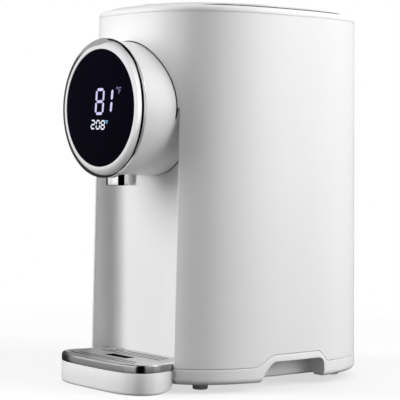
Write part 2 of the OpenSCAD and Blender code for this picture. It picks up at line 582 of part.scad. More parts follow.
module lid_screws() color(steel) place() translate([0, tank_y, 0]) for (t = [45, 135, 225, 315]) rotate([0, 0, t]) translate([50, 0, 0]) {
    cylinder_at(302.8, 304.1, 2.6, 32);
    cylinder_at(303.6, 312, 1.2, 32);
}

module lid_button() color(white) place() {
    difference() {
        translate([-11, -97, 317.2]) cube([22, 18, 7.5]);
        translate([-9, -95, 316]) cube([18, 8.6, 6.6]);
        // thumb dish
        translate([0, -88, 344]) sphere(r = 19.9, $fn = 64);
    }
}

module latch_tongue() color([0.8, 0.8, 0.82]) place() {
    difference() {
        translate([-9, -106.2, 312.5]) cube([18, 18.2, 1.9]);
        // lead-in
        translate([-12, -106.2, 314.6]) rotate([35, 0, 0]) translate([0, -3, -1]) cube([24, 3, 2.2]);
    }
}

// Compression spring under the button
spring_turns = 3.5;
module latch_spring() color(steel) place() translate([0, -82.4, 0]) {
    n = 42; k = 8; rw = 0.35; rc = 2.2; z0 = 312.65; z1 = 316.75;
    pts = [for (i = [0:n]) let (a = 360 * spring_turns * i / n, z = z0 + (z1 - z0) * i / n)
        for (j = [0:k - 1]) let (b = 360 * j / k) [(rc + rw * cos(b)) * cos(a), (rc + rw * cos(b)) * sin(a), z + rw * sin(b)]];
    faces = concat([[for (j = [0:k - 1]) j]], [[for (j = [0:k - 1]) n * k + k - 1 - j]],
        [for (i = [0:n - 1]) for (j = [0:k - 1]) let (a = i * k + j, b = i * k + (j + 1) % k) [a, a + k, b + k]],
        [for (i = [0:n - 1]) for (j = [0:k - 1]) let (a = i * k + j, b = i * k + (j + 1) % k) [a, b + k, b]]);
    polyhedron(pts, faces, convexity = 10);
}

module hinge_pin() color(steel) place() translate([-35.8, hinge_y, hinge_z]) rotate([0, 90, 0]) cylinder(r = 1.6, h = 71.6, $fn = 48);

// ---------- tray
// Plan of the tray, pulled in by i
module tray_plan(i) {
    difference() {
        intersection() {
            translate([0, tray_cy]) polygon(squircle(tray_a - i, tray_b - i, tray_n, 96));
            // sides drawn in towards the casing
            polygon([for (p = [[58.1, -100], [62, -124.5], [62, -160]]) [p[0] - i, p[1]],
                for (p = [[62, -160], [62, -124.5], [58.1, -100]]) [i - p[0], p[1]]]);
        }
        polygon(squircle(body_w / 2 + 0.7 + i, body_d / 2 + 0.7 + i, sq_n, 96));
    }
    difference() {
        u_plan(rec_w - 0.7 - i, rec_y + 0.6 + i, rec_r + 0.6);
        translate([-80, -160]) square([160, 160 - 122]);
    }
}
module drip_tray() color(white) place() difference() {
    union() {
        linear_extrude(1) tray_plan(1.4);
        translate([0, 0, 0.9]) linear_extrude(1.4) tray_plan(0.5);
        translate([0, 0, 2.2]) linear_extrude(16.1) tray_plan(0);
        translate([0, 0, 18]) linear_extrude(2.4) tray_plan(2.6);
    }
    translate([0, 0, 2.6]) linear_extrude(30) tray_plan(4.8);
}

module tray_trim() color(chrome) place() difference() {
    union() {
        translate([0, 0, 18.4]) linear_extrude(tray_z - 18.4 - 1.3) tray_plan(0);
        translate([0, 0, tray_z - 1.4]) linear_extrude(0.7) tray_plan(0.2);
        translate([0, 0, tray_z - 0.8]) linear_extrude(0.5) tray_plan(0.5);
        translate([0, 0, tray_z - 0.4]) linear_extrude(0.4) tray_plan(1);
    }
    translate([0, 0, 10]) linear_extrude(11) tray_plan(2.3);
    translate([0, 0, 20.8]) linear_extrude(11) tray_plan(2.2);
}

module tray_grille() color(steel) place() difference() {
    union() {
        translate([0, 0, tray_z - 1.5]) linear_extrude(1.4) tray_plan(2.5);
        translate([0, 0, 20.8]) linear_extrude(tray_z - 22.1) difference() { tray_plan(3.2); tray_plan(4.4); }
    }
    // centre opening under the spout
    translate([-15.6, -120, 10]) cube([31.2, 10, 20]);
    for (p = [[-133.4, 46], [-127.6, 42], [-103.4, 42], [-97.6, 40], [-91.8, 38]]) {
        translate([-p[1], p[0] - slot_w / 2, 10]) cube([2 * p[1], slot_w, 20]);
    }
}

outer_shell();
front_panel();
top_collar();
base_ring();
bottom_cover();
base_screws();
feet();
tank();
tank_gasket();
tank_support();
heater_plate();
thermostats();
water_sensor();
suction_hose();
pump_housing();
pump_cover();
pump_impeller();
pump_motor();
discharge_hose();
riser_tube();
hose_clamps();
spout();
spout_nozzle();
head_barrel();
head_screws();
dial_bearing();
head_board();
press_switch();
power_board();
board_screws();
power_inlet();
dial_ring();
display_lens();
lens_carrier();
display_board();
display_digits();
lid_shell();
lid_cap();
lid_liner();
lid_gasket();
steam_baffle();
lid_screws();
lid_button();
latch_tongue();
latch_spring();
hinge_pin();
drip_tray();
tray_trim();
tray_grille();
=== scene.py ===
import math

import bmesh
import bpy
import numpy as np
from mathutils import Matrix, Vector


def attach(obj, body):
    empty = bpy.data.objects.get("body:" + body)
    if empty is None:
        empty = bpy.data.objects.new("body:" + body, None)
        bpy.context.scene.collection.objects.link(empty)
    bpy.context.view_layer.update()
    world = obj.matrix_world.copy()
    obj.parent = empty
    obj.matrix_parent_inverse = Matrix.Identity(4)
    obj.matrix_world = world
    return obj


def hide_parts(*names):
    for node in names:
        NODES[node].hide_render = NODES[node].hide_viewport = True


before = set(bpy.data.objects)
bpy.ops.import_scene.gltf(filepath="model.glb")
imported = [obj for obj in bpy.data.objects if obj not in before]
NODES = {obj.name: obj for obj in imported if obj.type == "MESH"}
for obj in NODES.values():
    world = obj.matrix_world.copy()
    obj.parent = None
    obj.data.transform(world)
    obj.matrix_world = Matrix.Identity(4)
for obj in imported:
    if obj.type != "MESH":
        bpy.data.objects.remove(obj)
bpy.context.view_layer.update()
scene = bpy.context.scene

# ------------------------------------------------------------------ sizes, mm
YM = 15.71985            # body centre in the row frame
SQ = 2.85
HEAD_Z = 235.3
HINGE = (94.6, 318.5)


def ha(z):
    return 95 - 0.0127 * z


def hb(z):
    return 114.7 - 0.0127 * z


def sp(v, e):
    return np.sign(v) * np.abs(v) ** e


def smooth01(t):
    c = min(1.0, max(0.0, t))
    return c * c * (3 - 2 * c)


def seam_at(y):
    return 20.2 + 9.6 * (smooth01((y + 43) / 22) - smooth01((y - 28) / 14))


def even_t(a, b, n, count, t0=0.0, t1=2 * math.pi, closed=True):
    """Angles that step evenly along the outline."""
    t = np.linspace(t0, t1, 20001)
    x, y = a * sp(np.cos(t), 2 / n), b * sp(np.sin(t), 2 / n)
    s = np.concatenate([[0], np.cumsum(np.hypot(np.diff(x), np.diff(y)))])
    want = np.linspace(0, s[-1], count + 1)[:count] if closed else np.linspace(0, s[-1], count)
    return np.interp(want, s, t)


T_BODY = even_t(92.9, 112.6, SQ, 320)


def body_loop(z, inset, ymax=None, t=T_BODY):
    a, b = ha(z) - inset, hb(z) - inset
    x, y = a * sp(np.cos(t), 2 / SQ), b * sp(np.sin(t), 2 / SQ)
    if ymax is not None:
        y = np.minimum(y, ymax)
    return np.stack([x, y, np.full_like(x, z)], 1)


def front_y(x, z, inset=0.0):
    """Y of the body's front surface at x, z."""
    a, b = ha(z) - inset, hb(z) - inset
    return -b * (1 - (abs(x) / a) ** SQ) ** (1 / SQ)


def pchip(xs, ys, q):
    """Smooth curve through points that never overshoots."""
    xs, ys, q = map(lambda v: np.asarray(v, float), (xs, ys, q))
    h, d = np.diff(xs), np.diff(ys) / np.diff(xs)
    m = np.zeros_like(ys)
    for i in range(1, len(xs) - 1):
        if d[i - 1] * d[i] > 0:
            w1, w2 = 2 * h[i] + h[i - 1], h[i] + 2 * h[i - 1]
            m[i] = (w1 + w2) / (w1 / d[i - 1] + w2 / d[i])
    m[0], m[-1] = d[0], d[-1]
    k = np.clip(np.searchsorted(xs, q) - 1, 0, len(h) - 1)
    t = (q - xs[k]) / h[k]
    return ((2 * t**3 - 3 * t**2 + 1) * ys[k] + (t**3 - 2 * t**2 + t) * h[k] * m[k]
            + (-2 * t**3 + 3 * t**2) * ys[k + 1] + (t**3 - t**2) * h[k] * m[k + 1])


# ------------------------------------------------------------------ mesh tools
def raw(name, verts, faces, weld=False):
    v = np.asarray(verts, float).copy()
    v[:, 1] += YM
    v *= 0.001
    me = bpy.data.meshes.new(name)
    me.from_pydata(v.tolist(), [], faces)
    ob = bpy.data.objects.new(name, me)
    scene.collection.objects.link(ob)
    bm = bmesh.new()
    bm.from_mesh(me)
    if weld:
        bmesh.ops.remove_doubles(bm, verts=bm.verts, dist=3e-6)
    bmesh.ops.recalc_face_normals(bm, faces=bm.faces)
    bm.to_mesh(me)
    bm.free()
    return ob


def apply_mods(ob):
    dg = bpy.context.evaluated_depsgraph_get()
    dg.update()
    me = bpy.data.meshes.new_from_object(ob.evaluated_get(dg))
    ob.modifiers.clear()
    old = ob.data
    ob.data = me
    bpy.data.meshes.remove(old)


def boolean(ob, other, op="DIFFERENCE"):
    m = ob.modifiers.new("cut", "BOOLEAN")
    m.operation, m.object, m.solver = op, other, "EXACT"
    apply_mods(ob)
    bpy.data.objects.remove(other)


def join(name, obs):
    verts, faces = [], []
    for o in obs:
        k = len(verts)
        verts += [tuple(v.co) for v in o.data.vertices]
        faces += [[k + i for i in p.vertices] for p in o.data.polygons]
        bpy.data.objects.remove(o)
    me = bpy.data.meshes.new(name)
    me.from_pydata(verts, [], faces)
    ob = bpy.data.objects.new(name, me)
    scene.collection.objects.link(ob)
    return ob


def done(ob, body, mat, rep=(), sharp=35, bevel=None, segments=2, angle=40, weighted=False):
    me = ob.data
    me.materials.clear()
    me.materials.append(mat)
    for p in me.polygons:
        p.use_smooth = True
    me.set_sharp_from_angle(angle=math.radians(sharp))
    if bevel:
        m = ob.modifiers.new("edge", "BEVEL")
        m.width, m.segments, m.limit_method, m.angle_limit = bevel / 1000, segments, "ANGLE", math.radians(angle)
        m.use_clamp_overlap = True
        m.miter_outer = "MITER_SHARP"
    if bevel or weighted:
        w = ob.modifiers.new("shade", "WEIGHTED_NORMAL")
        w.keep_sharp, w.weight = True, 50
    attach(ob, body)
    if rep:
        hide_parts(*rep)
    return ob


def loft(name, loops, torus=False, cap0=True, cap1=True):
    n, m = len(loops[0]), len(loops)
    verts = np.concatenate(loops)
    faces = []
    for j in range(m if torus else m - 1):
        a, b = j * n, ((j + 1) % m) * n
        for i in range(n):
            k = (i + 1) % n
            faces.append([a + i, a + k, b + k, b + i])
    if not torus:
        if cap0:
            faces.append(list(range(n))[::-1])
        if cap1:
            faces.append([(m - 1) * n + i for i in range(n)])
    return raw(name, verts, faces)


def lathe(name, prof, n=192, head=False, centre=(0, 0), closed=True):
    """Turned solid. prof is (radius, height) pairs. With head, height runs out of the front from the body centre."""
    ang = np.linspace(0, 2 * math.pi, n + 1)[:n]
    loops = []
    for r, h in prof:
        c, s = r * np.cos(ang), r * np.sin(ang)
        if head:
            loops.append(np.stack([centre[0] + c, np.full(n, -h), HEAD_Z + centre[1] + s], 1))
        else:
            loops.append(np.stack([centre[0] + c, centre[1] + s, np.full(n, h)], 1))
    if closed:
        return loft(name, loops, torus=True)
    return loft(name, loops)


def prism(name, poly, lo, hi, axis="z"):
    """Straight solid of a closed polygon. axis z: poly is x,y. axis x: poly is y,z. axis y: poly is x,z."""
    p = np.asarray(poly, float)
    loops = []
    for h in (lo, hi):
        e = np.full(len(p), float(h))
        loops.append({"z": np.stack([p[:, 0], p[:, 1], e], 1), "x": np.stack([e, p[:, 0], p[:, 1]], 1),
                      "y": np.stack([p[:, 0], e, p[:, 1]], 1)}[axis])
    return loft(name, loops)


def box(name, x0, x1, y0, y1, z0, z1):
    return prism(name, [(x0, y0), (x1, y0), (x1, y1), (x0, y1)], z0, z1)


def disc(r, n, c=(0, 0), a0=0.0, a1=2 * math.pi, closed=True):
    t = np.linspace(a0, a1, n + 1)[:n] if closed else np.linspace(a0, a1, n)
    return [(c[0] + r * math.cos(q), c[1] + r * math.sin(q)) for q in t]


def fillet(points, radii, seg=4):
    """Closed polygon with its corners rounded."""
    out = []
    k = len(points)
    for i in range(k):
        p0, p, p1 = (np.array(points[j % k], float) for j in (i - 1, i, i + 1))
        r = radii[i] if hasattr(radii, "__len__") else radii
        u, v = p0 - p, p1 - p
        lu, lv = np.linalg.norm(u), np.linalg.norm(v)
        u, v = u / lu, v / lv
        half = math.acos(max(-1, min(1, float(u @ v)))) / 2
        if r <= 0 or half > 1.5:
            out.append(tuple(p))
            continue
        d = min(r / math.tan(half), lu * 0.49, lv * 0.49)
        r2 = d * math.tan(half)
        mid = (u + v) / np.linalg.norm(u + v)
        c = p + mid * (r2 / math.sin(half))
        a0 = math.atan2(*(p + u * d - c)[::-1])
        a1 = math.atan2(*(p + v * d - c)[::-1])
        da = (a1 - a0 + math.pi) % (2 * math.pi) - math.pi
        for s in range(seg + 1):
            out.append((c[0] + r2 * math.cos(a0 + da * s / seg), c[1] + r2 * math.sin(a0 + da * s / seg)))
    return out


# ------------------------------------------------------------------ materials
def new_mat(name):
    m = bpy.data.materials.new(name)
    m.use_nodes = True
    return m, m.node_tree.nodes, m.node_tree.links, m.node_tree.nodes["Principled BSDF"]


def texture_coords(nodes, links, scale):
    tc = nodes.new("ShaderNodeTexCoord")
    mp = nodes.new("ShaderNodeMapping")
    mp.inputs["Scale"].default_value = scale
    links.new(tc.outputs["Object"], mp.inputs["Vector"])
    return mp.outputs["Vector"]


def noise(nodes, links, scale, freq, detail=3.0, rough=0.5):
    n = nodes.new("ShaderNodeTexNoise")
    n.inputs["Scale"].default_value = freq
    n.inputs["Detail"].default_value = detail
    n.inputs["Roughness"].default_value = rough
    links.new(texture_coords(nodes, links, scale), n.inputs["Vector"])
    return n.outputs["Fac"]


def ranged(nodes, links, fac, lo, hi, a=0.3, b=0.7):
    r = nodes.new("ShaderNodeMapRange")
    r.inputs["From Min"].default_value = a
    r.inputs["From Max"].default_value = b
    r.inputs["To Min"].default_value = lo
    r.inputs["To Max"].default_value = hi
    links.new(fac, r.inputs["Value"])
    return r.outputs["Result"]


def tint(nodes, links, fac, c0, c1):
    r = nodes.new("ShaderNodeValToRGB")
    r.color_ramp.elements[0].position = 0.3
    r.color_ramp.elements[1].position = 0.7
    r.color_ramp.elements[0].color = (*c0, 1)
    r.color_ramp.elements[1].color = (*c1, 1)
    links.new(fac, r.inputs["Fac"])
    return r.outputs["Color"]


def bumped(nodes, links, bsdf, height, strength, distance):
    b = nodes.new("ShaderNodeBump")
    b.inputs["Strength"].default_value = strength
    b.inputs["Distance"].default_value = distance
    links.new(height, b.inputs["Height"])
    links.new(b.outputs["Normal"], bsdf.inputs["Normal"])


def plastic(name, col, rough, vary=0.03, shade=0.985, grain=1500, grain_depth=0.00002, grain_amount=0.06, coat=0.0, spec=0.5):
    m, nodes, links, b = new_mat(name)
    wide = noise(nodes, links, (1, 1, 1), 14, 3)
    fine = noise(nodes, links, (1, 1, 1), grain, 2)
    links.new(tint(nodes, links, wide, tuple(c * shade for c in col), col), b.inputs["Base Color"])
    links.new(ranged(nodes, links, wide, rough - vary, rough + vary), b.inputs["Roughness"])
    b.inputs["Specular IOR Level"].default_value = spec
    if coat:
        b.inputs["Coat Weight"].default_value = coat
        b.inputs["Coat Roughness"].default_value = 0.12
    bumped(nodes, links, b, fine, grain_amount, grain_depth)
    return m


def metal(name, col, rough, vary=0.02, stretch=(1, 1, 1), freq=300, depth=0.00001, amount=0.05, shade=0.97, aniso=0.0, metallic=1.0):
    m, nodes, links, b = new_mat(name)
    b.inputs["Metallic"].default_value = metallic
    streak = noise(nodes, links, stretch, freq, 4, 0.6)
    cloud = noise(nodes, links, (1, 1, 1), 25, 3)
    links.new(tint(nodes, links, streak, tuple(c * shade for c in col), col), b.inputs["Base Color"])
    links.new(ranged(nodes, links, cloud, rough - vary, rough + vary), b.inputs["Roughness"])
    if aniso:
        b.inputs["Anisotropic"].default_value = aniso
    bumped(nodes, links, b, streak, amount, depth)
    return m


M = {}
M["white_shell"] = plastic("white_satin_plastic", (0.875, 0.875, 0.88), 0.36, coat=0.15)
M["white_recess"] = plastic("white_recess_plastic", (0.865, 0.865, 0.872), 0.42)
M["white_lid"] = plastic("white_lid_plastic", (0.88, 0.88, 0.885), 0.33, coat=0.2)
M["white_inner"] = plastic("white_inner_plastic", (0.8, 0.8, 0.8), 0.5, vary=0.05, shade=0.97, grain=700, grain_amount=0.15)
M["chrome"] = metal("polished_chrome", (0.87, 0.875, 0.885), 0.075, vary=0.012, freq=600, amount=0.012)
M["brushed_band"] = metal("brushed_band_steel", (0.42, 0.42, 0.425), 0.18, vary=0.03, stretch=(0.04, 0.04, 1), freq=2400, amount=0.12, depth=0.00003)
M["brushed"] = metal("brushed_plate_steel", (0.62, 0.62, 0.625), 0.36, vary=0.04, stretch=(0.02, 1, 1), freq=1800, amount=0.2, depth=0.00004, shade=0.84, metallic=0.5)
M["steel"] = metal("drawn_steel", (0.62, 0.63, 0.64), 0.26, vary=0.05, stretch=(1, 1, 0.03), freq=900, amount=0.12, depth=0.00003, shade=0.9)
M["aluminium"] = metal("cast_aluminium", (0.55, 0.55, 0.56), 0.5, vary=0.06, freq=350, amount=0.4, depth=0.0001, shade=0.85)
M["glass"] = plastic("black_display_glass", (0.0022, 0.0018, 0.0062), 0.07, vary=0.02, shade=0.8, grain=400, grain_amount=0.01, spec=0.006)
M["black_plastic"] = plastic("black_plastic", (0.022, 0.022, 0.025), 0.45, vary=0.05, shade=0.8, grain=900, grain_amount=0.2)
M["rubber"] = plastic("grey_rubber", (0.7, 0.7, 0.705), 0.6, vary=0.05, shade=0.88, grain=700, grain_amount=0.3, grain_depth=0.00005)
M["silicone"] = plastic("silicone", (0.72, 0.73, 0.735), 0.5, vary=0.05, shade=0.95, grain=600, grain_amount=0.15)
M["board"] = plastic("circuit_board", (0.03, 0.13, 0.06), 0.4, vary=0.06, shade=0.7, grain=500, grain_amount=0.25, grain_depth=0.00006)
M["ceramic"] = plastic("thermostat_body", (0.12, 0.09, 0.08), 0.5, vary=0.06, shade=0.8, grain=500, grain_amount=0.25)

for key, c0, c1 in (("lavender", (0.50, 0.46, 0.80), (0.68, 0.64, 0.92)), ("white_lit", (0.74, 0.78, 0.90), (0.9, 0.92, 0.98)),
                    ("violet", (0.11, 0.08, 0.26), (0.16, 0.12, 0.34)), ("cyan", (0.10, 0.42, 0.70), (0.16, 0.52, 0.82))):
    m, nodes, links, b = new_mat("lit_segments_" + key)
    b.inputs["Base Color"].default_value = (0.05, 0.05, 0.06, 1)
    b.inputs["Roughness"].default_value = 0.5
    links.new(tint(nodes, links, noise(nodes, links, (1, 1, 1), 260, 2), c0, c1), b.inputs["Emission Color"])
    b.inputs["Emission Strength"].default_value = 1.0
    M[key] = m

# ------------------------------------------------------------------ casing
# outer shell: side arcs, rear field with inlet and vent openings, front field round the barrel hole
EDGE = 58.85
TOP = 314.95
t_edge = math.acos((EDGE / ha(160)) ** (SQ / 2))
half = even_t(ha(160), hb(160), SQ, 46, 0.0, t_edge, closed=False) / t_edge
FR = np.concatenate([-half[::-1], half[1:]])
LOW = [20.45, 24, 27.9, 33, 38, 44.5, 51.1, 56, 62, 64.4, 69, 71.4, 76, 78.4, 83, 85.4, 90, 92.4, 97, 99.4, 106, 116, 128, 140,
       152, 164, 176, 188, 200, 212, 224, 235.5]
N_SIDE = 20
UP = list(np.linspace(235.5, TOP, N_SIDE + 1))
LINES = LOW + UP[1:]


def col_point(x, y, z):
    return (x, y, z)


verts, faces = [], []


def add_grid(fn, nu, nv, skip=lambda i, j: False):
    k = len(verts)
    for i in range(nu):
        for j in range(nv):
            verts.append(fn(i, j))
    for i in range(nu - 1):
        for j in range(nv - 1):
            if not skip(i, j):
                faces.append([k + i * nv + j, k + (i + 1) * nv + j, k + (i + 1) * nv + j + 1, k + i * nv + j + 1])


def line_z(j, y):
    z = LINES[j]
    if z < 33:
        zb = seam_at(y) + 0.25
        z = zb + (33 - zb) * (z - 20.45) / (33 - 20.45)
    return z


def side_point(s):
    def fn(i, j):
        z = LINES[j]
        for _ in range(2):
            t = FR[i] * math.acos((EDGE / ha(z)) ** (SQ / 2))
            y = hb(z) * float(sp(np.sin(t), 2 / SQ))
            z = line_z(j, y)
        return (s * ha(z) * math.cos(t) ** (2 / SQ), y, z)
    return fn


XR = [58.85, 54, 47, 40, 34, 29, 24, 19.5, 15.3, 10, 5, 0]
XR = XR + [-x for x in XR[-2::-1]]


def rear_fn(i, j):
    z = line_z(j, 100)
    return (XR[i], -front_y(XR[i], z), z)


def rear_skip(i, j):
    xm, z0 = abs(XR[i] + XR[i + 1]) / 2, LINES[j]
    if xm < 15.3 and 27.8 < z0 < 51:
        return True
    return xm < 24 and any(abs(z0 - (62 + k * 7)) < 0.1 for k in range(6))


for s in (1, -1):
    add_grid(side_point(s), len(FR), len(LINES))
add_grid(rear_fn, len(XR), len(LINES), rear_skip)
HOLE = 57.55
phi_c = math.atan2(EDGE, TOP - HEAD_Z)
N_TOP = 18
phis = list(np.linspace(math.pi / 2 - 0.2 / HOLE, phi_c, N_SIDE + 1)) + list(np.linspace(phi_c, 0, N_TOP + 1))[1:]
outer = [(EDGE, z) for z in UP] + [(EDGE * (1 - k / N_TOP), TOP) for k in range(1, N_TOP + 1)]
M_R = 8


def front_fn(s):
    def fn(i, j):
        px, pz = HOLE * math.sin(phis[i]), HEAD_Z + HOLE * math.cos(phis[i])
        if i == 0:
            px, pz = HOLE, 235.5
        qx, qz = outer[i]
        f = (j / M_R) ** 1.25
        x, z = px + (qx - px) * f, pz + (qz - pz) * f
        return (s * x, front_y(x, z), z)
    return fn


for s in (1, -1):
    add_grid(front_fn(s), len(phis), M_R + 1)
shell = raw("outer_shell_skin", verts, faces, weld=True)
mod = shell.modifiers.new("wall", "SOLIDIFY")
mod.thickness, mod.offset, mod.use_even_offset = 0.0024, -1, True
apply_mods(shell)
bm = bmesh.new()
bm.from_mesh(shell.data)
lip = [e for e in bm.edges if len(e.link_faces) == 2 and e.calc_face_angle(0) > 0.7
       and all(abs(abs(v.co.x) * 1000 - EDGE) < 0.3 and v.co.z * 1000 < 235.6 and v.co.y * 1000 - YM < front_y(EDGE, v.co.z * 1000) + 0.4 for v in e.verts)
       and abs(e.verts[0].co.z - e.verts[1].co.z) > 0.001]
bmesh.ops.bevel(bm, geom=lip, offset=0.0014, offset_type="OFFSET", segments=5, profile=0.5, affect="EDGES", clamp_overlap=False)
bm.to_mesh(shell.data)
bm.free()
done(shell, "body", M["white_shell"], ["outer_shell"], bevel=0.5, segments=3, sharp=35, angle=50)

# recess liner
W, YB, RC, TH = 58.6, 81.5, 16.0, 2.2


def panel_loop(z):
    f0, f1 = front_y(W, z), front_y(W + TH, z)
    pts = [(W, f0 + 2.0), (W, f0 + 1.65), (W + 0.12, f0 + 1.45), (W + 0.2, f0 + 1.4), (W + 0.22, f0 + 1.5), (W + 0.22, f0 + 2.75),
           (W + TH - 0.3, f1 + 2.75), (W + TH, f1 + 3.0)]
    outer_side = pts[::-1]                       # from outer wall to the cavity wall
    right = outer_side + [(W, f0 + (-YB - RC - f0) * k) for k in (0.4, 0.7, 1.0)]
    c = (W - RC, -YB - RC)
    right += [(c[0] + RC * math.cos(a), c[1] + RC * math.sin(a)) for a in np.linspace(0, math.pi / 2, 15)[1:]]
    right += [(x, -YB) for x in (34, 20, 8)]
    inner = right + [(0, -YB)] + [(-x, y) for x, y in right[::-1]]
    ro = RC + TH
    back = [(-W - TH, -YB - RC)] + [(-c[0] - ro * math.cos(a), c[1] + ro * math.sin(a)) for a in np.linspace(0, math.pi / 2, 13)[1:]]
    back += [(-20, -YB + TH), (20, -YB + TH)] + [(-x, y) for x, y in back[::-1]]
    p = np.array(inner + back)
    return np.column_stack([p, np.full(len(p), z)])


zs = [20.45, 20.6, 22, 30, 50, 80, 110, 140, 170, 200, 220, 233, 235.3]
liner = loft("liner", [panel_loop(z) for z in zs])
panel = join("recess_liner", [liner])
done(panel, "body", M["white_recess"], ["front_panel"], sharp=40)

# collar
T_C = T_BODY


def circle_like(r, z, cy=17.0):
    """Circle about the tank axis whose points face the body outline's points."""
    a, b = ha(z) - 5, hb(z) - 5
    x, y = a * sp(np.cos(T_C), 2 / SQ), b * sp(np.sin(T_C), 2 / SQ)
    g = np.arctan2(y - cy, x)
    return np.stack([r * np.cos(g), cy + r * np.sin(g), np.full_like(g, z)], 1)


loops = [body_loop(z, i) for z, i in [(302, 2.8), (315.02, 2.8), (315.05, 0.5), (315.4, 0.4), (315.55, 0.12), (315.75, 0), (316.6, 0.02),
                                       (317.6, 0.08), (318.3, 0.22), (318.9, 0.5), (319.5, 0.95), (320.0, 1.55), (320.4, 2.25), (320.72, 3.0),
                                       (320.92, 3.7), (321, 4.2), (320.97, 4.55), (320.8, 4.85), (320.45, 5.0), (318, 5.0), (311.3, 5.0), (310.7, 5.2), (310.5, 5.8)]]
loops += [circle_like(66.8, 310.5), circle_like(66.2, 310.2), circle_like(66, 309.6), circle_like(66, 303.2), circle_like(66.4, 302.8),
          circle_like(78.4, 302.8), circle_like(78.8, 303.1), circle_like(78.8, 304.8), circle_like(68.6, 304.8), circle_like(68.6, 308)]
loops += [body_loop(308, 5), body_loop(302, 5)]
collar = loft("collar", loops, torus=True)
boolean(collar, box("notch", -10.5, 10.5, -106.8, -100.8, 311.6, 330))
crv = [(x, -front_y(x, 314, 4.9)) for x in np.linspace(58.6, -58.6, 61)]
bridge_poly = [(-58.6, 91.6), (-37.5, 91.6), (-37.5, 100.8), (37.5, 100.8), (37.5, 91.6), (58.6, 91.6)] + crv[1:-1]
bridge = prism("bridge", bridge_poly, 309, 317.8)


def eye(x0, x1, pts, hole=1.66):
    e = prism("eye", pts, x0, x1, "x")
    boolean(e, prism("bore", disc(hole, 40, HINGE), x0 - 1, x1 + 1, "x"))
    return e


collar_eye = [(91, 309), (102.1, 309), (102.1, 317.6)] + disc(3.6, 25, HINGE, math.radians(8), math.radians(180), closed=False) + [(91, 316)]
eyes = [eye(a, b_, collar_eye) for a, b_ in ((-36, -25), (-5.5, 5.5), (25, 36))]
collar = join("collar_rim", [collar, bridge] + eyes)
done(collar, "body", M["white_shell"], ["top_collar"], sharp=38)

# base ring
prof = [(7.0, 3.9), (7.08, 3.3), (7.35, 2.5), (7.8, 1.75), (8.4, 1.1), (9.2, 0.55), (10.1, 0.18), (11, 0.0), (12.5, 0), (14.5, 0)]
ring_loops = [body_loop(z, i) for z, i in prof]
ref = body_loop(20, 0)
top_z = np.array([seam_at(y) - 0.25 for y in ref[:, 1]])


def seam_loop(dz, inset):
    lp = []
    for (tt, z) in zip(T_BODY, top_z + dz):
        a, b_ = ha(z) - inset, hb(z) - inset
        lp.append((a * float(sp(np.cos(tt), 2 / SQ)), b_ * float(sp(np.sin(tt), 2 / SQ)), z))
    return np.array(lp)


mid = [ring_loops[-1] * (1 - f) + seam_loop(-0.45, 0) * f for f in (0.35, 0.7)]
ring_loops += mid + [seam_loop(-0.45, 0), seam_loop(-0.15, 0.1), seam_loop(0, 0.4), seam_loop(0, 2.8),
                     body_loop(12, 2.8), body_loop(12, 20), body_loop(9.9, 20), body_loop(9.9, 14), body_loop(7.0, 14)]
ring = loft("base", ring_loops, torus=True)


def u_poly(w, y, r, front=-150, seg=14):
    c = (w - r, -y - r)
    right = [(w, front)] + [(c[0] + r * math.cos(a), c[1] + r * math.sin(a)) for a in np.linspace(0, math.pi / 2, seg)]
    return right + [(-x, yy) for x, yy in right[::-1]]


solid_loops = [body_loop(z, i) for z, i in prof] + [body_loop(30, 0)]


def inside_body(ob, pull=0.0):
    m_ = ob.modifiers.new("cut", "BOOLEAN")
    m_.operation, m_.object, m_.solver = "INTERSECT", loft("solid", solid_loops if not pull else [body_loop(5, pull), body_loop(30, pull)]), "EXACT"
    other = m_.object
    apply_mods(ob)
    bpy.data.objects.remove(other)
    return ob


notch = [(-40, -5), (-37, 6), (-35, 9), (-33, 13.8), (-30, 17.6)]
notch += [(-19.6 + 9 * math.cos(math.radians(145 - 6.5 * i)), 14.9 + 9 * math.sin(math.radians(145 - 6.5 * i))) for i in range(9)]
notch += [(28.7 + 7 * math.cos(math.radians(90 - 7.5 * i)), 16.9 + 7 * math.sin(math.radians(90 - 7.5 * i))) for i in range(13)]
notch += [(35.7, 9), (37.5, 6), (39, -5)]
base_parts = []
wall = inside_body(prism("tray_wall", u_poly(W + 2.4, YB - 2.4, RC + 2.4), 7, 19.95))
boolean(wall, prism("tray_cut", u_poly(W, YB, RC), -5, 60))
base_parts.append(wall)
boolean(ring, prism("tray_cut", u_poly(W + 0.02, YB, RC), -5, 60))
for s in (-1, 1):
    boolean(ring, prism("notch", notch, *sorted((s * 70, s * 130)), "x"))
    pocket = inside_body(prism("pocket", [(-41, 9.0), (43, 9.0), (43, 26.3), (-41, 26.3)], *sorted((s * 71.4, s * 111.4)), "x"), 1.2)
    boolean(pocket, prism("notch", [(y * 1.002, z * 1.004) for y, z in notch], *sorted((s * 73.8, s * 130)), "x"))
    base_parts.append(pocket)
ring = join("base_ring_skin", [ring] + base_parts)
done(ring, "body", M["white_shell"], ["base_ring"], sharp=32)

# feet
FEET = [(53.3, -69.4), (-53.3, -69.4), (51, 84.5), (-51, 84.5)]
prof_f = [(0.01, 0.35), (4.3, 0.35), (4.6, 0.0), (5.6, 0.0), (6.0, 0.12), (6.32, 0.42), (6.5, 0.9), (6.5, 6.5), (6.35, 6.9), (2.44, 6.95), (2.44, 9.8), (0.01, 9.8)]
feet = join("rubber_feet", [lathe("foot", prof_f, 64, centre=c, closed=False) for c in FEET])
done(feet, "body", M["rubber"], ["feet"], sharp=40)

# ------------------------------------------------------------------ head
bp = [(42.5, 81.6), (56.76, 81.6), (56.76, 82.7), (56.7, 82.8), (56.7, 90), (56.7, 110), (56.7, 131.2), (56.62, 131.65), (56.4, 131.95), (56.05, 132.1), (49, 132.1), (49, 129.7),
      (54.2, 129.7), (54.2, 84.5), (42.5, 84.5)]
barrel = lathe("barrel_skin", bp, 256, head=True)
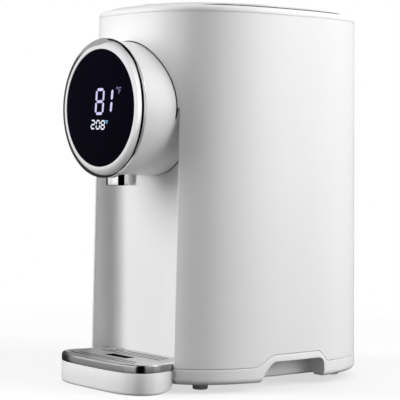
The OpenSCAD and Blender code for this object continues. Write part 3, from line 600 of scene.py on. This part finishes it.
# shadow groove where it meets the casing
groove = loft("groove", [body_loop(z, i) for z, i in ((226.5, -0.05), (300, -0.05), (300, 2.1), (238, 2.1), (226.5, 0.9))], torus=True)
boolean(groove, prism("core", disc(55.9, 256, (0, HEAD_Z)), -160, 160, "y"))
boolean(barrel, groove)
barrel.name = "barrel_skin"
done(barrel, "body", M["white_shell"], ["head_barrel"], sharp=35)
# painted shade: the groove faces and the barrel's rear rim against the back wall get black plastic, so the joint with
# the casing shows as a dark shadow line on top of the real groove
barrel.data.materials.append(M["black_plastic"])
for p in barrel.data.polygons:
    c = p.center * 1000
    rr = math.hypot(c.x, c.z - HEAD_Z)
    if (54.9 < rr < 56.45 and -130 < c.y - YM < -82.9) or (rr > 56.5 and c.y - YM > -82.75):
        p.material_index = 1

rp = [(51.68, 132.5), (57.95, 132.5), (58.3, 132.6), (58.55, 132.8), (58.6, 133.1), (58.15, 133.2), (58.15, 133.45), (58.55, 133.5), (58.7, 133.7)]
rp += [(50 + 8.7 * math.cos(a), 133.75 + 5.05 * math.sin(a)) for a in np.linspace(0.05, math.pi / 2, 30)]
rp += [(50 + 1.1 * math.cos(a), 137.9 + 0.9 * math.sin(a)) for a in np.linspace(math.pi / 2, math.pi, 10)[1:]]
rp += [(48.9, 136.5), (51.68, 136.5)]
dial = lathe("dial_ring_skin", rp, 256, head=True)
done(dial, "dial", M["chrome"], ["dial_ring"], sharp=40)

lp = [(0.01, 135.7), (48.4, 135.7), (48.6, 135.9), (48.6, 137.35), (48.52, 137.6), (48.3, 137.77), (48.0, 137.8), (30, 137.8), (0.01, 137.8)]
lens = lathe("display_window", lp, 256, head=True, closed=False)
done(lens, "display", M["glass"], ["display_lens"], sharp=35)

# lit segments on the window
LIT = {8: "1111111", 1: "0110000", 2: "1101101", 0: "1111110"}
DEPTH = (-137.96, -137.80)


def seg_bar(x0, y0, x1, y1, t, sl, o):
    ln = math.hypot(x1 - x0, y1 - y0)
    ux, uy, g, e_ = (x1 - x0) / ln, (y1 - y0) / ln, t * 0.3, t / 2
    pts = [(g, 0), (g + e_ * 0.85, e_), (ln - g - e_ * 0.85, e_), (ln - g, 0), (ln - g - e_ * 0.85, -e_), (g + e_ * 0.85, -e_)]
    q = [(x0 + ux * u - uy * v, y0 + uy * u + ux * v) for u, v in pts]
    return prism("seg", fillet([(o[0] + x + sl * y, HEAD_Z + o[1] + y) for x, y in q], 0.12 * t, 2), *DEPTH, "y")


def digit(d, o, w, h, t, sl):
    ends = [(0, h, w, h), (w, h / 2, w, h), (w, 0, w, h / 2), (0, 0, w, 0), (0, 0, 0, h / 2), (0, h / 2, 0, h), (0, h / 2, w, h / 2)]
    return [seg_bar(*q, t, sl, o) for q, on in zip(ends, LIT[d]) if on == "1"]


def bar(x, z, w, h):
    return prism("bar", [(x, HEAD_Z + z), (x + w, HEAD_Z + z), (x + w, HEAD_Z + z + h), (x, HEAD_Z + z + h)], *DEPTH, "y")


def dot(r, c, hole=0.0):
    ob = prism("dot", disc(r, 32, (c[0], HEAD_Z + c[1])), *DEPTH, "y")
    if hole:
        boolean(ob, prism("dot", disc(hole, 24, (c[0], HEAD_Z + c[1])), -140, -130, "y"))
    return ob


sets = [
    ("temperature_digits", "lavender", digit(8, (-6.3, -4.6), 10.2, 20, 2.35, 0.09) + digit(1, (5.3, -4.3), 10.2, 20.2, 2.6, 0.13)),
    ("set_point_digits", "white_lit", digit(2, (-12.6, -17.2), 4.8, 6.8, 1.2, 0.1) + digit(0, (-5.4, -17.4), 4.8, 6.8, 1.2, 0.1)
     + digit(8, (1.6, -17.6), 4.8, 6.8, 1.2, 0.1)),
    ("temperature_unit", "violet", [dot(1.1, (24.3, 16.2), 0.55), bar(26.6, 11.4, 0.8, 5.4), bar(27.45, 16.0, 2.75, 0.8), bar(27.45, 13.8, 1.95, 0.8)]),
    ("set_point_unit", "cyan", [dot(0.6, (8.3, -11)), bar(9.6, -13.4, 0.6, 3), bar(10.25, -11.0, 1.55, 0.6), bar(10.25, -12.2, 1.05, 0.6)]),
]
for name, key, obs in sets:
    done(join(name, obs), "display", M[key], ["display_digits"], sharp=30)

# spout
spp = [(10.9, 170.9), (11.0, 170.55), (11.3, 170.35), (11.7, 170.3), (12.2, 170.32), (12.6, 170.5), (12.83, 170.8), (12.9, 171.2), (12.9, 174),
       (12.9, 179), (12.9, 184.7), (14.5, 184.7), (14.5, 186.3), (10.9, 186.3)]
spout = lathe("spout_skin", spp, 128, centre=(0, -115))
done(spout, "body", M["chrome"], ["spout"], sharp=40)

# ------------------------------------------------------------------ lid
dome_i = [6, 6.4, 7.6, 10.5, 17, 28, 42, 54]
dome_z = [319.9, 321, 322, 323, 324, 324.9, 325.6, 325.9]
ins = [6.02, 6.15, 6.4, 6.8, 7.3, 8.0, 8.9, 10.0, 11.5, 13.5, 16, 19, 23, 28, 34, 41, 48, 54]
top_loops = [(311.3, 6.0), (319.0, 6.0), (319.6, 6.0)] + [(float(pchip(dome_i, dome_z, [i])[0]), i) for i in ins]
loops = [body_loop(z, i, 90.6) for z, i in [(311, 6.35)] + top_loops] + [body_loop(325.93, 70, 90.6)]
# along both sides the edge stands a little over the rim, with a gap under it; the gap's wall is painted black further
# down as painted shade
for ring, top in zip(range(4, 11), (321.9, 322.02, 322.14, 322.26, 322.4, 322.56, 322.74)):
    q = loops[ring]
    w = np.clip((np.abs(q[:, 0]) - 50) / 24, 0, 1) * np.clip((84 - q[:, 1]) / 24, 0, 1)
    q[:, 2] += w * np.maximum(0, top - q[:, 2])
under = [(322.6, 70), (322.6, 50), (322.3, 34), (321.6, 20), (320.6, 12), (319.9, 9.6), (318.6, 8.3), (317.5, 8.2), (311.2, 8.2), (311, 8.0)]
hollow = [body_loop(z, i, 88.2) for z, i in under]
n = len(T_BODY)
allv = np.concatenate(loops + hollow)
fc = []
nl, nh = len(loops), len(hollow)


def strip(a, b_):
    for i in range(n):
        k = (i + 1) % n
        fc.append([a * n + i, a * n + k, b_ * n + k, b_ * n + i])


for j in range(nl - 1):
    strip(j, j + 1)
fc.append([(nl - 1) * n + i for i in range(n)])
for j in range(nh - 1):
    strip(nl + j, nl + j + 1)
fc.append([nl * n + i for i in range(n)][::-1])
strip(nl + nh - 1, 0)
lid = raw("lid", allv, fc)
T_CAP = even_t(58, 58, 2.3, 192)


def cap_loop(z, r):
    return np.stack([r * sp(np.cos(T_CAP), 2 / 2.3), 8 + r * sp(np.sin(T_CAP), 2 / 2.3), np.full_like(T_CAP, z)], 1)


boolean(lid, loft("seat", [cap_loop(324.4, 58.3), cap_loop(330, 58.3)]))
boolean(lid, prism("duct", disc(8.4, 64, (0, 45)), 300, 340))
boolean(lid, prism("window", fillet([(-11.4, -97.4), (11.4, -97.4), (11.4, -78.6), (-11.4, -78.6)], 1.6), 318, 330))
boolean(lid, box("slot", -9.4, 9.4, -125, -90, 312.2, 314.7))
extra = []
for a in (45, 135, 225, 315):
    c = (50 * math.cos(math.radians(a)), 17 + 50 * math.sin(math.radians(a)))
    extra.append(lathe("boss", [(1.25, 306.4), (3.1, 306.4), (3.2, 306.6), (3.2, 323), (1.25, 323)], 40, centre=c))
shelf = box("shelf", -16, 16, -104, -79, 311, 312.2)
lid_eye = [(88.0, 315.1), (94.6, 315.1)] + disc(3.4, 25, HINGE, math.radians(-88), math.radians(105), closed=False) + [(88.0, 320.7)]
extra += [shelf] + [eye(a, b_, lid_eye) for a, b_ in ((-24.4, -6.1), (6.1, 24.4))]
lid = join("lid_skin", [lid] + extra)
done(lid, "lid", M["white_lid"], ["lid_shell"], sharp=32)
# painted shade: on both sides the lid's edge wall just above the rim gets black plastic, drawing the shadow gap under
# the raised edge
lid.data.materials.append(M["black_plastic"])
for p in lid.data.polygons:
    if 0.3200 < p.center.z < 0.3212 and abs(p.center.x) > 0.05 and abs(p.normal.z) < 0.35:
        p.material_index = 1

cl = [(324.5, 57.9), (324.6, 58), (325.9, 58), (326.2, 57.9), (326.45, 57.65), (326.65, 57.3), (326.82, 56.8), (326.95, 56.1), (327.05, 55),
      (327.12, 53), (327.16, 49), (327.19, 42), (327.2, 30), (327.2, 6)]
cap = loft("cap", [cap_loop(z, r) for z, r in cl])
for i in range(-2, 3):
    y0 = 45 + i * 3.2 - 0.8
    boolean(cap, prism("vent", fillet([(-9, y0), (9, y0), (9, y0 + 1.6), (-9, y0 + 1.6)], 0.7), 320, 330))
cap.name = "lid_centre_plate"
done(cap, "lid", M["white_lid"], ["lid_cap"], sharp=32)

# lid button with a thumb dish
gx, gy = np.linspace(-11, 11, 31), np.linspace(-97, -79, 25)
bv, bf = [], []
for x in gx:
    for y in gy:
        r2 = x * x + (y + 88) ** 2
        z = 344 - math.sqrt(max(1, 20.3**2 - r2)) if r2 < 20**2 else 330
        bv.append((x, y, min(324.7, z + 0.15)))
k0 = len(gx) * len(gy)
for x in gx:
    for y in gy:
        bv.append((x, y, 317.2))
gn = len(gy)
for i in range(len(gx) - 1):
    for j in range(gn - 1):
        q = [i * gn + j, (i + 1) * gn + j, (i + 1) * gn + j + 1, i * gn + j + 1]
        bf += [q, [k0 + v for v in q[::-1]]]
rim = [(i, 0) for i in range(len(gx))] + [(len(gx) - 1, j) for j in range(1, gn)] + [(i, gn - 1) for i in range(len(gx) - 2, -1, -1)] + [(0, j) for j in range(gn - 2, 0, -1)]
for (i, j), (i2, j2) in zip(rim, rim[1:] + rim[:1]):
    bf.append([i * gn + j, i2 * gn + j2, k0 + i2 * gn + j2, k0 + i * gn + j])
button = raw("lid_button_skin", bv, bf)
done(button, "button", M["white_lid"], ["lid_button"], bevel=0.5, segments=3, sharp=40)
# room for the spring under a pressed button
boolean(button, prism("spring_pocket", disc(2.95, 48, (0, -82.4)), 310, 320.0))

# ------------------------------------------------------------------ tray
TA, TB, TCY, TN = 61.2, 34.0, -112, 3.6


def tray_outline(i, z):
    """Plan of the tray pulled in by i."""
    a, b_ = TA - i, TB - i
    w, yb, r = 57.9 - i, 82.1 + i, RC + 0.6 - i
    ts = even_t(a, b_, TN, 70, 1e-4, math.pi / 2, closed=False)[::-1]
    right = [(a * math.cos(t) ** (2 / TN), TCY - b_ * math.sin(t) ** (2 / TN)) for t in ts]
    right[0] = (0.0, TCY - b_)
    right = right[:-1] + [(a, y) for y in (-112, -110, -108.5, -107, -105.8, -104.7)]
    # sides drawn in towards the casing
    right = [(x - (a - w) * smooth01((y + 125) / 20.6) if y > -125 else x, y) for x, y in right]
    right += [(w - r + r * math.cos(q), -yb - r + r * math.sin(q)) for q in np.linspace(0, math.pi / 2, 16)]
    right += [(26, -yb), (12, -yb)]
    pts = right + [(-x, y) for x, y in right[::-1] if abs(x) > 1e-6]
    p = np.array(pts)
    return np.column_stack([p, np.full(len(p), float(z))])


tl = [tray_outline(i, z) for z, i in [(0, 1.9), (0.12, 1.35), (0.45, 0.85), (1.0, 0.4), (1.8, 0.1), (2.6, 0), (10, 0), (17.8, 0), (18.15, 0.12), (18.3, 0.4), (18.3, 2.55),
                                      (20.3, 2.55), (20.4, 2.65), (20.4, 4.7), (20.3, 4.8), (4.2, 4.8), (3.0, 5.2), (2.6, 6.4)]]
tray = loft("tray", tl)
# the rear of the tray is raised off the floor
under_y = [(-119, 0.05), (-112, 0.8), (-107, 1.9), (-104, 3.6), (-102.5, 7.3), (-70, 7.3)]
boolean(tray, prism("lift", [(-119, -2)] + under_y + [(-70, -2)], -80, 80, "x"))
sole = loft("sole", [tray_outline(3, 0.05), tray_outline(3, 9.5)])
boolean(sole, prism("band", under_y + [(-70, 8.8), (-103.6, 8.8), (-105.5, 5.4), (-107.5, 3.9), (-112, 2.8), (-119, 2.7)], -80, 80, "x"), "INTERSECT")
tray = join("tray_base", [tray, sole])
done(tray, "tray", M["white_shell"], ["drip_tray"], sharp=38)
# painted shade: the tray's inner walls and cavity floor get black plastic, so the shadowed interior reads dark through
# the grille opening
tray.data.materials.append(M["black_plastic"])
mid_y = TCY + YM - 12
for p in tray.data.polygons:
    c, nn = p.center * 1000, p.normal
    inner_wall = 2.6 < c.z < 20.3 and (nn.x * c.x + nn.y * (c.y - mid_y)) < 0 and abs(nn.z) < 0.5 and p.area > 1e-7
    if inner_wall or (nn.z > 0.6 and c.z < 9.2):
        p.material_index = 1

tt = [tray_outline(i, z) for z, i in [(18.4, 0.4), (18.5, 0.12), (18.8, 0), (21, 0), (23.3, 0), (23.7, 0.04), (24.1, 0.17), (24.45, 0.37), (24.77, 0.65), (25.04, 1.0),
                                      (25.24, 1.4), (25.36, 1.85), (25.4, 2.3), (25.36, 2.5), (25.2, 2.6), (24.6, 2.6), (20.8, 2.6), (20.75, 2.3), (18.4, 2.3)]]
trim = loft("tray_band", tt, torus=True)
done(trim, "tray", M["brushed_band"], ["tray_trim"], sharp=38)
trim.data.materials.append(M["chrome"])
for p in trim.data.polygons:
    if 0.024 < p.center.z < 0.02535:
        p.material_index = 1

gl = [tray_outline(i, z) for z, i in [(23.9, 2.95), (24.0, 2.85), (25.05, 2.85), (25.22, 2.95), (25.3, 3.2)]]
plate = loft("plate", gl)
skirt = loft("skirt", [tray_outline(i, z) for z, i in [(20.8, 3.4), (23.95, 3.4), (23.95, 4.5), (20.8, 4.5)]], torus=True)
boolean(plate, prism("opening", fillet([(-15.8, -120.2), (15.8, -120.2), (15.8, -109.8), (-15.8, -109.8)], 1.2, 5), 10, 40))
for yc, hw in [(-133.4, 46), (-127.6, 42), (-103.4, 42), (-97.6, 40), (-91.8, 38)]:
    boolean(plate, prism("slot", fillet([(-hw, yc - 0.95), (hw, yc - 0.95), (hw, yc + 0.95), (-hw, yc + 0.95)], 0.9, 4), 10, 40))
plate = join("tray_plate", [plate, skirt])
done(plate, "grille", M["brushed"], ["tray_grille"], sharp=38)
# painted shade: the side walls of the grille's opening and slots get black plastic, so they read as dark holes
plate.data.materials.append(M["black_plastic"])
for p in plate.data.polygons:
    c = p.center * 1000
    if abs(p.normal.z) < 0.5 and abs(c.x) < 46.8 and -134.6 < c.y - YM < -90.6 and c.z > 22.5 and not (abs(c.x) > 38 and c.y - YM > -101):
        p.material_index = 1

# ------------------------------------------------------------------ CAD nodes that stay
CAD_MATS = {
    "bottom_cover": "white_inner", "base_screws": "steel", "tank": "steel", "tank_gasket": "silicone", "tank_support": "white_inner",
    "heater_plate": "aluminium", "thermostats": "ceramic", "water_sensor": "steel", "suction_hose": "silicone", "pump_housing": "black_plastic",
    "pump_cover": "black_plastic", "pump_impeller": "white_inner", "pump_motor": "steel", "discharge_hose": "silicone", "riser_tube": "silicone",
    "hose_clamps": "steel", "spout_nozzle": "black_plastic", "head_screws": "steel", "dial_bearing": "white_inner", "head_board": "board",
    "press_switch": "black_plastic", "power_board": "board", "board_screws": "steel", "power_inlet": "black_plastic", "lens_carrier": "black_plastic",
    "display_board": "board", "lid_liner": "white_inner", "lid_gasket": "silicone", "steam_baffle": "white_inner",
    "lid_screws": "steel", "latch_tongue": "white_inner", "latch_spring": "steel", "hinge_pin": "steel",
}
for name, key in CAD_MATS.items():
    me = NODES[name].data
    if not me.materials:
        me.materials.append(M[key])
    for k in range(len(me.materials)):
        me.materials[k] = M[key]

# ------------------------------------------------------------------ floor, light, camera
CAM_AZ = 51.283          # degrees from the front towards +X


def plane(name, half, z):
    me = bpy.data.meshes.new(name)
    me.from_pydata([(-half, -half, z), (half, -half, z), (half, half, z), (-half, half, z)], [], [(0, 1, 2, 3)])
    ob = bpy.data.objects.new(name, me)
    scene.collection.objects.link(ob)
    return ob


# the floor the camera sees, kept pale; a duller one under it bounces the light
floor = plane("pale_floor", 12, -0.00005)
fm, nodes, links, b = new_mat("pale_floor")
links.new(tint(nodes, links, noise(nodes, links, (1, 1, 1), 3, 2), (0.3, 0.3, 0.3), (0.32, 0.32, 0.32)), b.inputs["Base Color"])
b.inputs["Roughness"].default_value = 0.8
b.inputs["Specular IOR Level"].default_value = 0.0
b.inputs["Emission Color"].default_value = (1, 1, 1, 1)
b.inputs["Emission Strength"].default_value = 0.64
ball = nodes.new("ShaderNodeTexGradient")
ball.gradient_type = "SPHERICAL"
links.new(texture_coords(nodes, links, (1.6, 1.6, 1.6)), ball.inputs["Vector"])
white = nodes.new("ShaderNodeEmission")
mix = nodes.new("ShaderNodeMixShader")
links.new(ranged(nodes, links, ball.outputs["Fac"], 0, 1, 0.0, 0.4), mix.inputs[0])
links.new(white.outputs[0], mix.inputs[1])
links.new(b.outputs[0], mix.inputs[2])
links.new(mix.outputs[0], nodes["Material Output"].inputs["Surface"])
floor.data.materials.append(fm)
floor.visible_diffuse = floor.visible_glossy = floor.visible_transmission = floor.visible_shadow = False
under = plane("bounce_floor", 12, -0.0002)
um, nodes, links, b = new_mat("bounce_floor")
links.new(tint(nodes, links, noise(nodes, links, (1, 1, 1), 3, 2), (0.15, 0.15, 0.15), (0.16, 0.16, 0.16)), b.inputs["Base Color"])
b.inputs["Roughness"].default_value = 0.7
under.data.materials.append(um)
under.visible_camera = under.visible_glossy = False

# white surround for the camera only
bm = bmesh.new()
bmesh.ops.create_icosphere(bm, subdivisions=4, radius=14)
bmesh.ops.reverse_faces(bm, faces=bm.faces)
me = bpy.data.meshes.new("surround")
bm.to_mesh(me)
bm.free()
dome = bpy.data.objects.new("surround", me)
scene.collection.objects.link(dome)
dm, nodes, links, b = new_mat("surround")
nodes.remove(b)
em = nodes.new("ShaderNodeEmission")
em.inputs["Strength"].default_value = 1.0
links.new(em.outputs[0], nodes["Material Output"].inputs["Surface"])
me.materials.append(dm)
dome.visible_diffuse = dome.visible_glossy = dome.visible_transmission = dome.visible_shadow = False

world = bpy.data.worlds.new("studio")
scene.world = world
world.use_nodes = True
world.node_tree.nodes["Background"].inputs["Color"].default_value = (1, 1, 1, 1)
world.node_tree.nodes["Background"].inputs["Strength"].default_value = 0.31


FALL = [(-2.5, 0.16), (-0.67, 0.3), (-0.13, 0.52), (0.12, 0.88), (0.3, 1.0), (0.6, 0.94), (1.14, 0.7), (2.9, 0.22)]


def card(name, a0, a1, r, z0, z1, level, seg=24, fall=FALL):
    """Upright curved studio card round the object, seen only in reflections."""
    vs, fs = [], []
    for i in range(seg + 1):
        q = math.radians(CAM_AZ + a0 + (a1 - a0) * i / seg)
        for z in (z0, z1):
            vs.append((r * math.sin(q), -r * math.cos(q), z))
        if i:
            k = 2 * i
            fs.append((k - 2, k, k + 1, k - 1))
    me = bpy.data.meshes.new(name)
    me.from_pydata(vs, [], fs)
    ob = bpy.data.objects.new(name, me)
    scene.collection.objects.link(ob)
    cm, nodes, links, b = new_mat(name)
    nodes.remove(b)
    e = nodes.new("ShaderNodeEmission")
    e.inputs["Strength"].default_value = level
    tc, xyz = nodes.new("ShaderNodeTexCoord"), nodes.new("ShaderNodeSeparateXYZ")
    links.new(tc.outputs["Object"], xyz.inputs[0])
    ramp = nodes.new("ShaderNodeValToRGB")
    stops = fall or [(-2.6, 1.0), (3.0, 1.0)]
    while len(ramp.color_ramp.elements) < len(stops):
        ramp.color_ramp.elements.new(0.5)
    for el, (z, f) in zip(ramp.color_ramp.elements, stops):
        el.position, el.color = (z + 2.6) / 5.6, (f, f, f, 1)
    links.new(ranged(nodes, links, xyz.outputs["Z"], 0, 1, -2.6, 3.0), ramp.inputs["Fac"])
    links.new(ramp.outputs["Color"], e.inputs["Color"])
    links.new(e.outputs[0], nodes["Material Output"].inputs["Surface"])
    me.materials.append(cm)
    ob.visible_camera = ob.visible_diffuse = ob.visible_shadow = False
    return ob


def softbox(name, az, el, dist, w, h, power, target=(0, 0.0157, 0.17)):
    q, r = math.radians(CAM_AZ + az), math.radians(el)
    d = Vector((math.sin(q) * math.cos(r), -math.cos(q) * math.cos(r), math.sin(r)))
    li = bpy.data.lights.new(name, "AREA")
    li.shape, li.size, li.size_y, li.energy = "RECTANGLE", w, h, power
    ob = bpy.data.objects.new(name, li)
    ob.location = Vector(target) + d * dist
    ob.rotation_euler = (-d).to_track_quat("-Z", "Y").to_euler()
    ob.visible_camera = ob.visible_glossy = False
    scene.collection.objects.link(ob)
    return ob


# what the bright metal sees
card("front_card", -25, 22, 1.2, -2.6, 3.0, 0.0)
card("front_right_card", 22, 62, 1.2, -2.6, 3.0, 0.75)
card("front_left_card", -66, -25, 1.2, -2.6, 3.0, 1.2)
card("left_card", -114, -66, 1.2, -2.6, 3.0, 0.95)
card("rear_left_card", -150, -114, 1.2, -2.6, 3.0, 0.08)
card("right_card", 62, 112, 1.2, -2.6, 3.0, 1.15)
card("rear_right_card", 112, 150, 1.2, -2.6, 3.0, 0.5)
card("rear_card", 150, 210, 1.2, -2.6, 3.0, 0.06)
card("rim_card", 82, 158, 1.12, 0.6, 1.75, 2.2, fall=None)
card("rim_left_card", -160, -104, 1.12, 0.55, 1.3, 0.42, fall=None)
world.cycles_visibility.glossy = False

softbox("left_softbox", -84, 18, 1.35, 0.66, 1.4, 17.6)
softbox("rear_softbox", 178, 18, 1.5, 0.9, 1.2, 5)
softbox("right_softbox", 73, 26, 1.35, 0.86, 1.25, 17.2)
softbox("top_softbox", 0, 89.9, 1.5, 1.3, 1.3, 3)

a, e, rho = math.radians(51.283), math.radians(-1.936), math.radians(0.687)
fwd = Vector((-math.sin(a) * math.cos(e), math.cos(a) * math.cos(e), math.sin(e)))
right = Vector((math.cos(a), math.sin(a), 0))
up = right.cross(fwd)
r2 = right * math.cos(rho) + up * math.sin(rho)
u2 = -right * math.sin(rho) + up * math.cos(rho)
cam = bpy.data.cameras.new("camera")
cam.lens, cam.sensor_width, cam.sensor_fit = 139.665, 36.0, "HORIZONTAL"
cam.clip_start, cam.clip_end = 0.05, 100
cob = bpy.data.objects.new("camera", cam)
scene.collection.objects.link(cob)
cob.matrix_world = Matrix(((r2.x, u2.x, -fwd.x, 1.06804), (r2.y, u2.y, -fwd.y, -0.88547 + YM / 1000), (r2.z, u2.z, -fwd.z, 0.20323), (0, 0, 0, 1)))
scene.camera = cob
scene.view_settings.view_transform = "Standard"
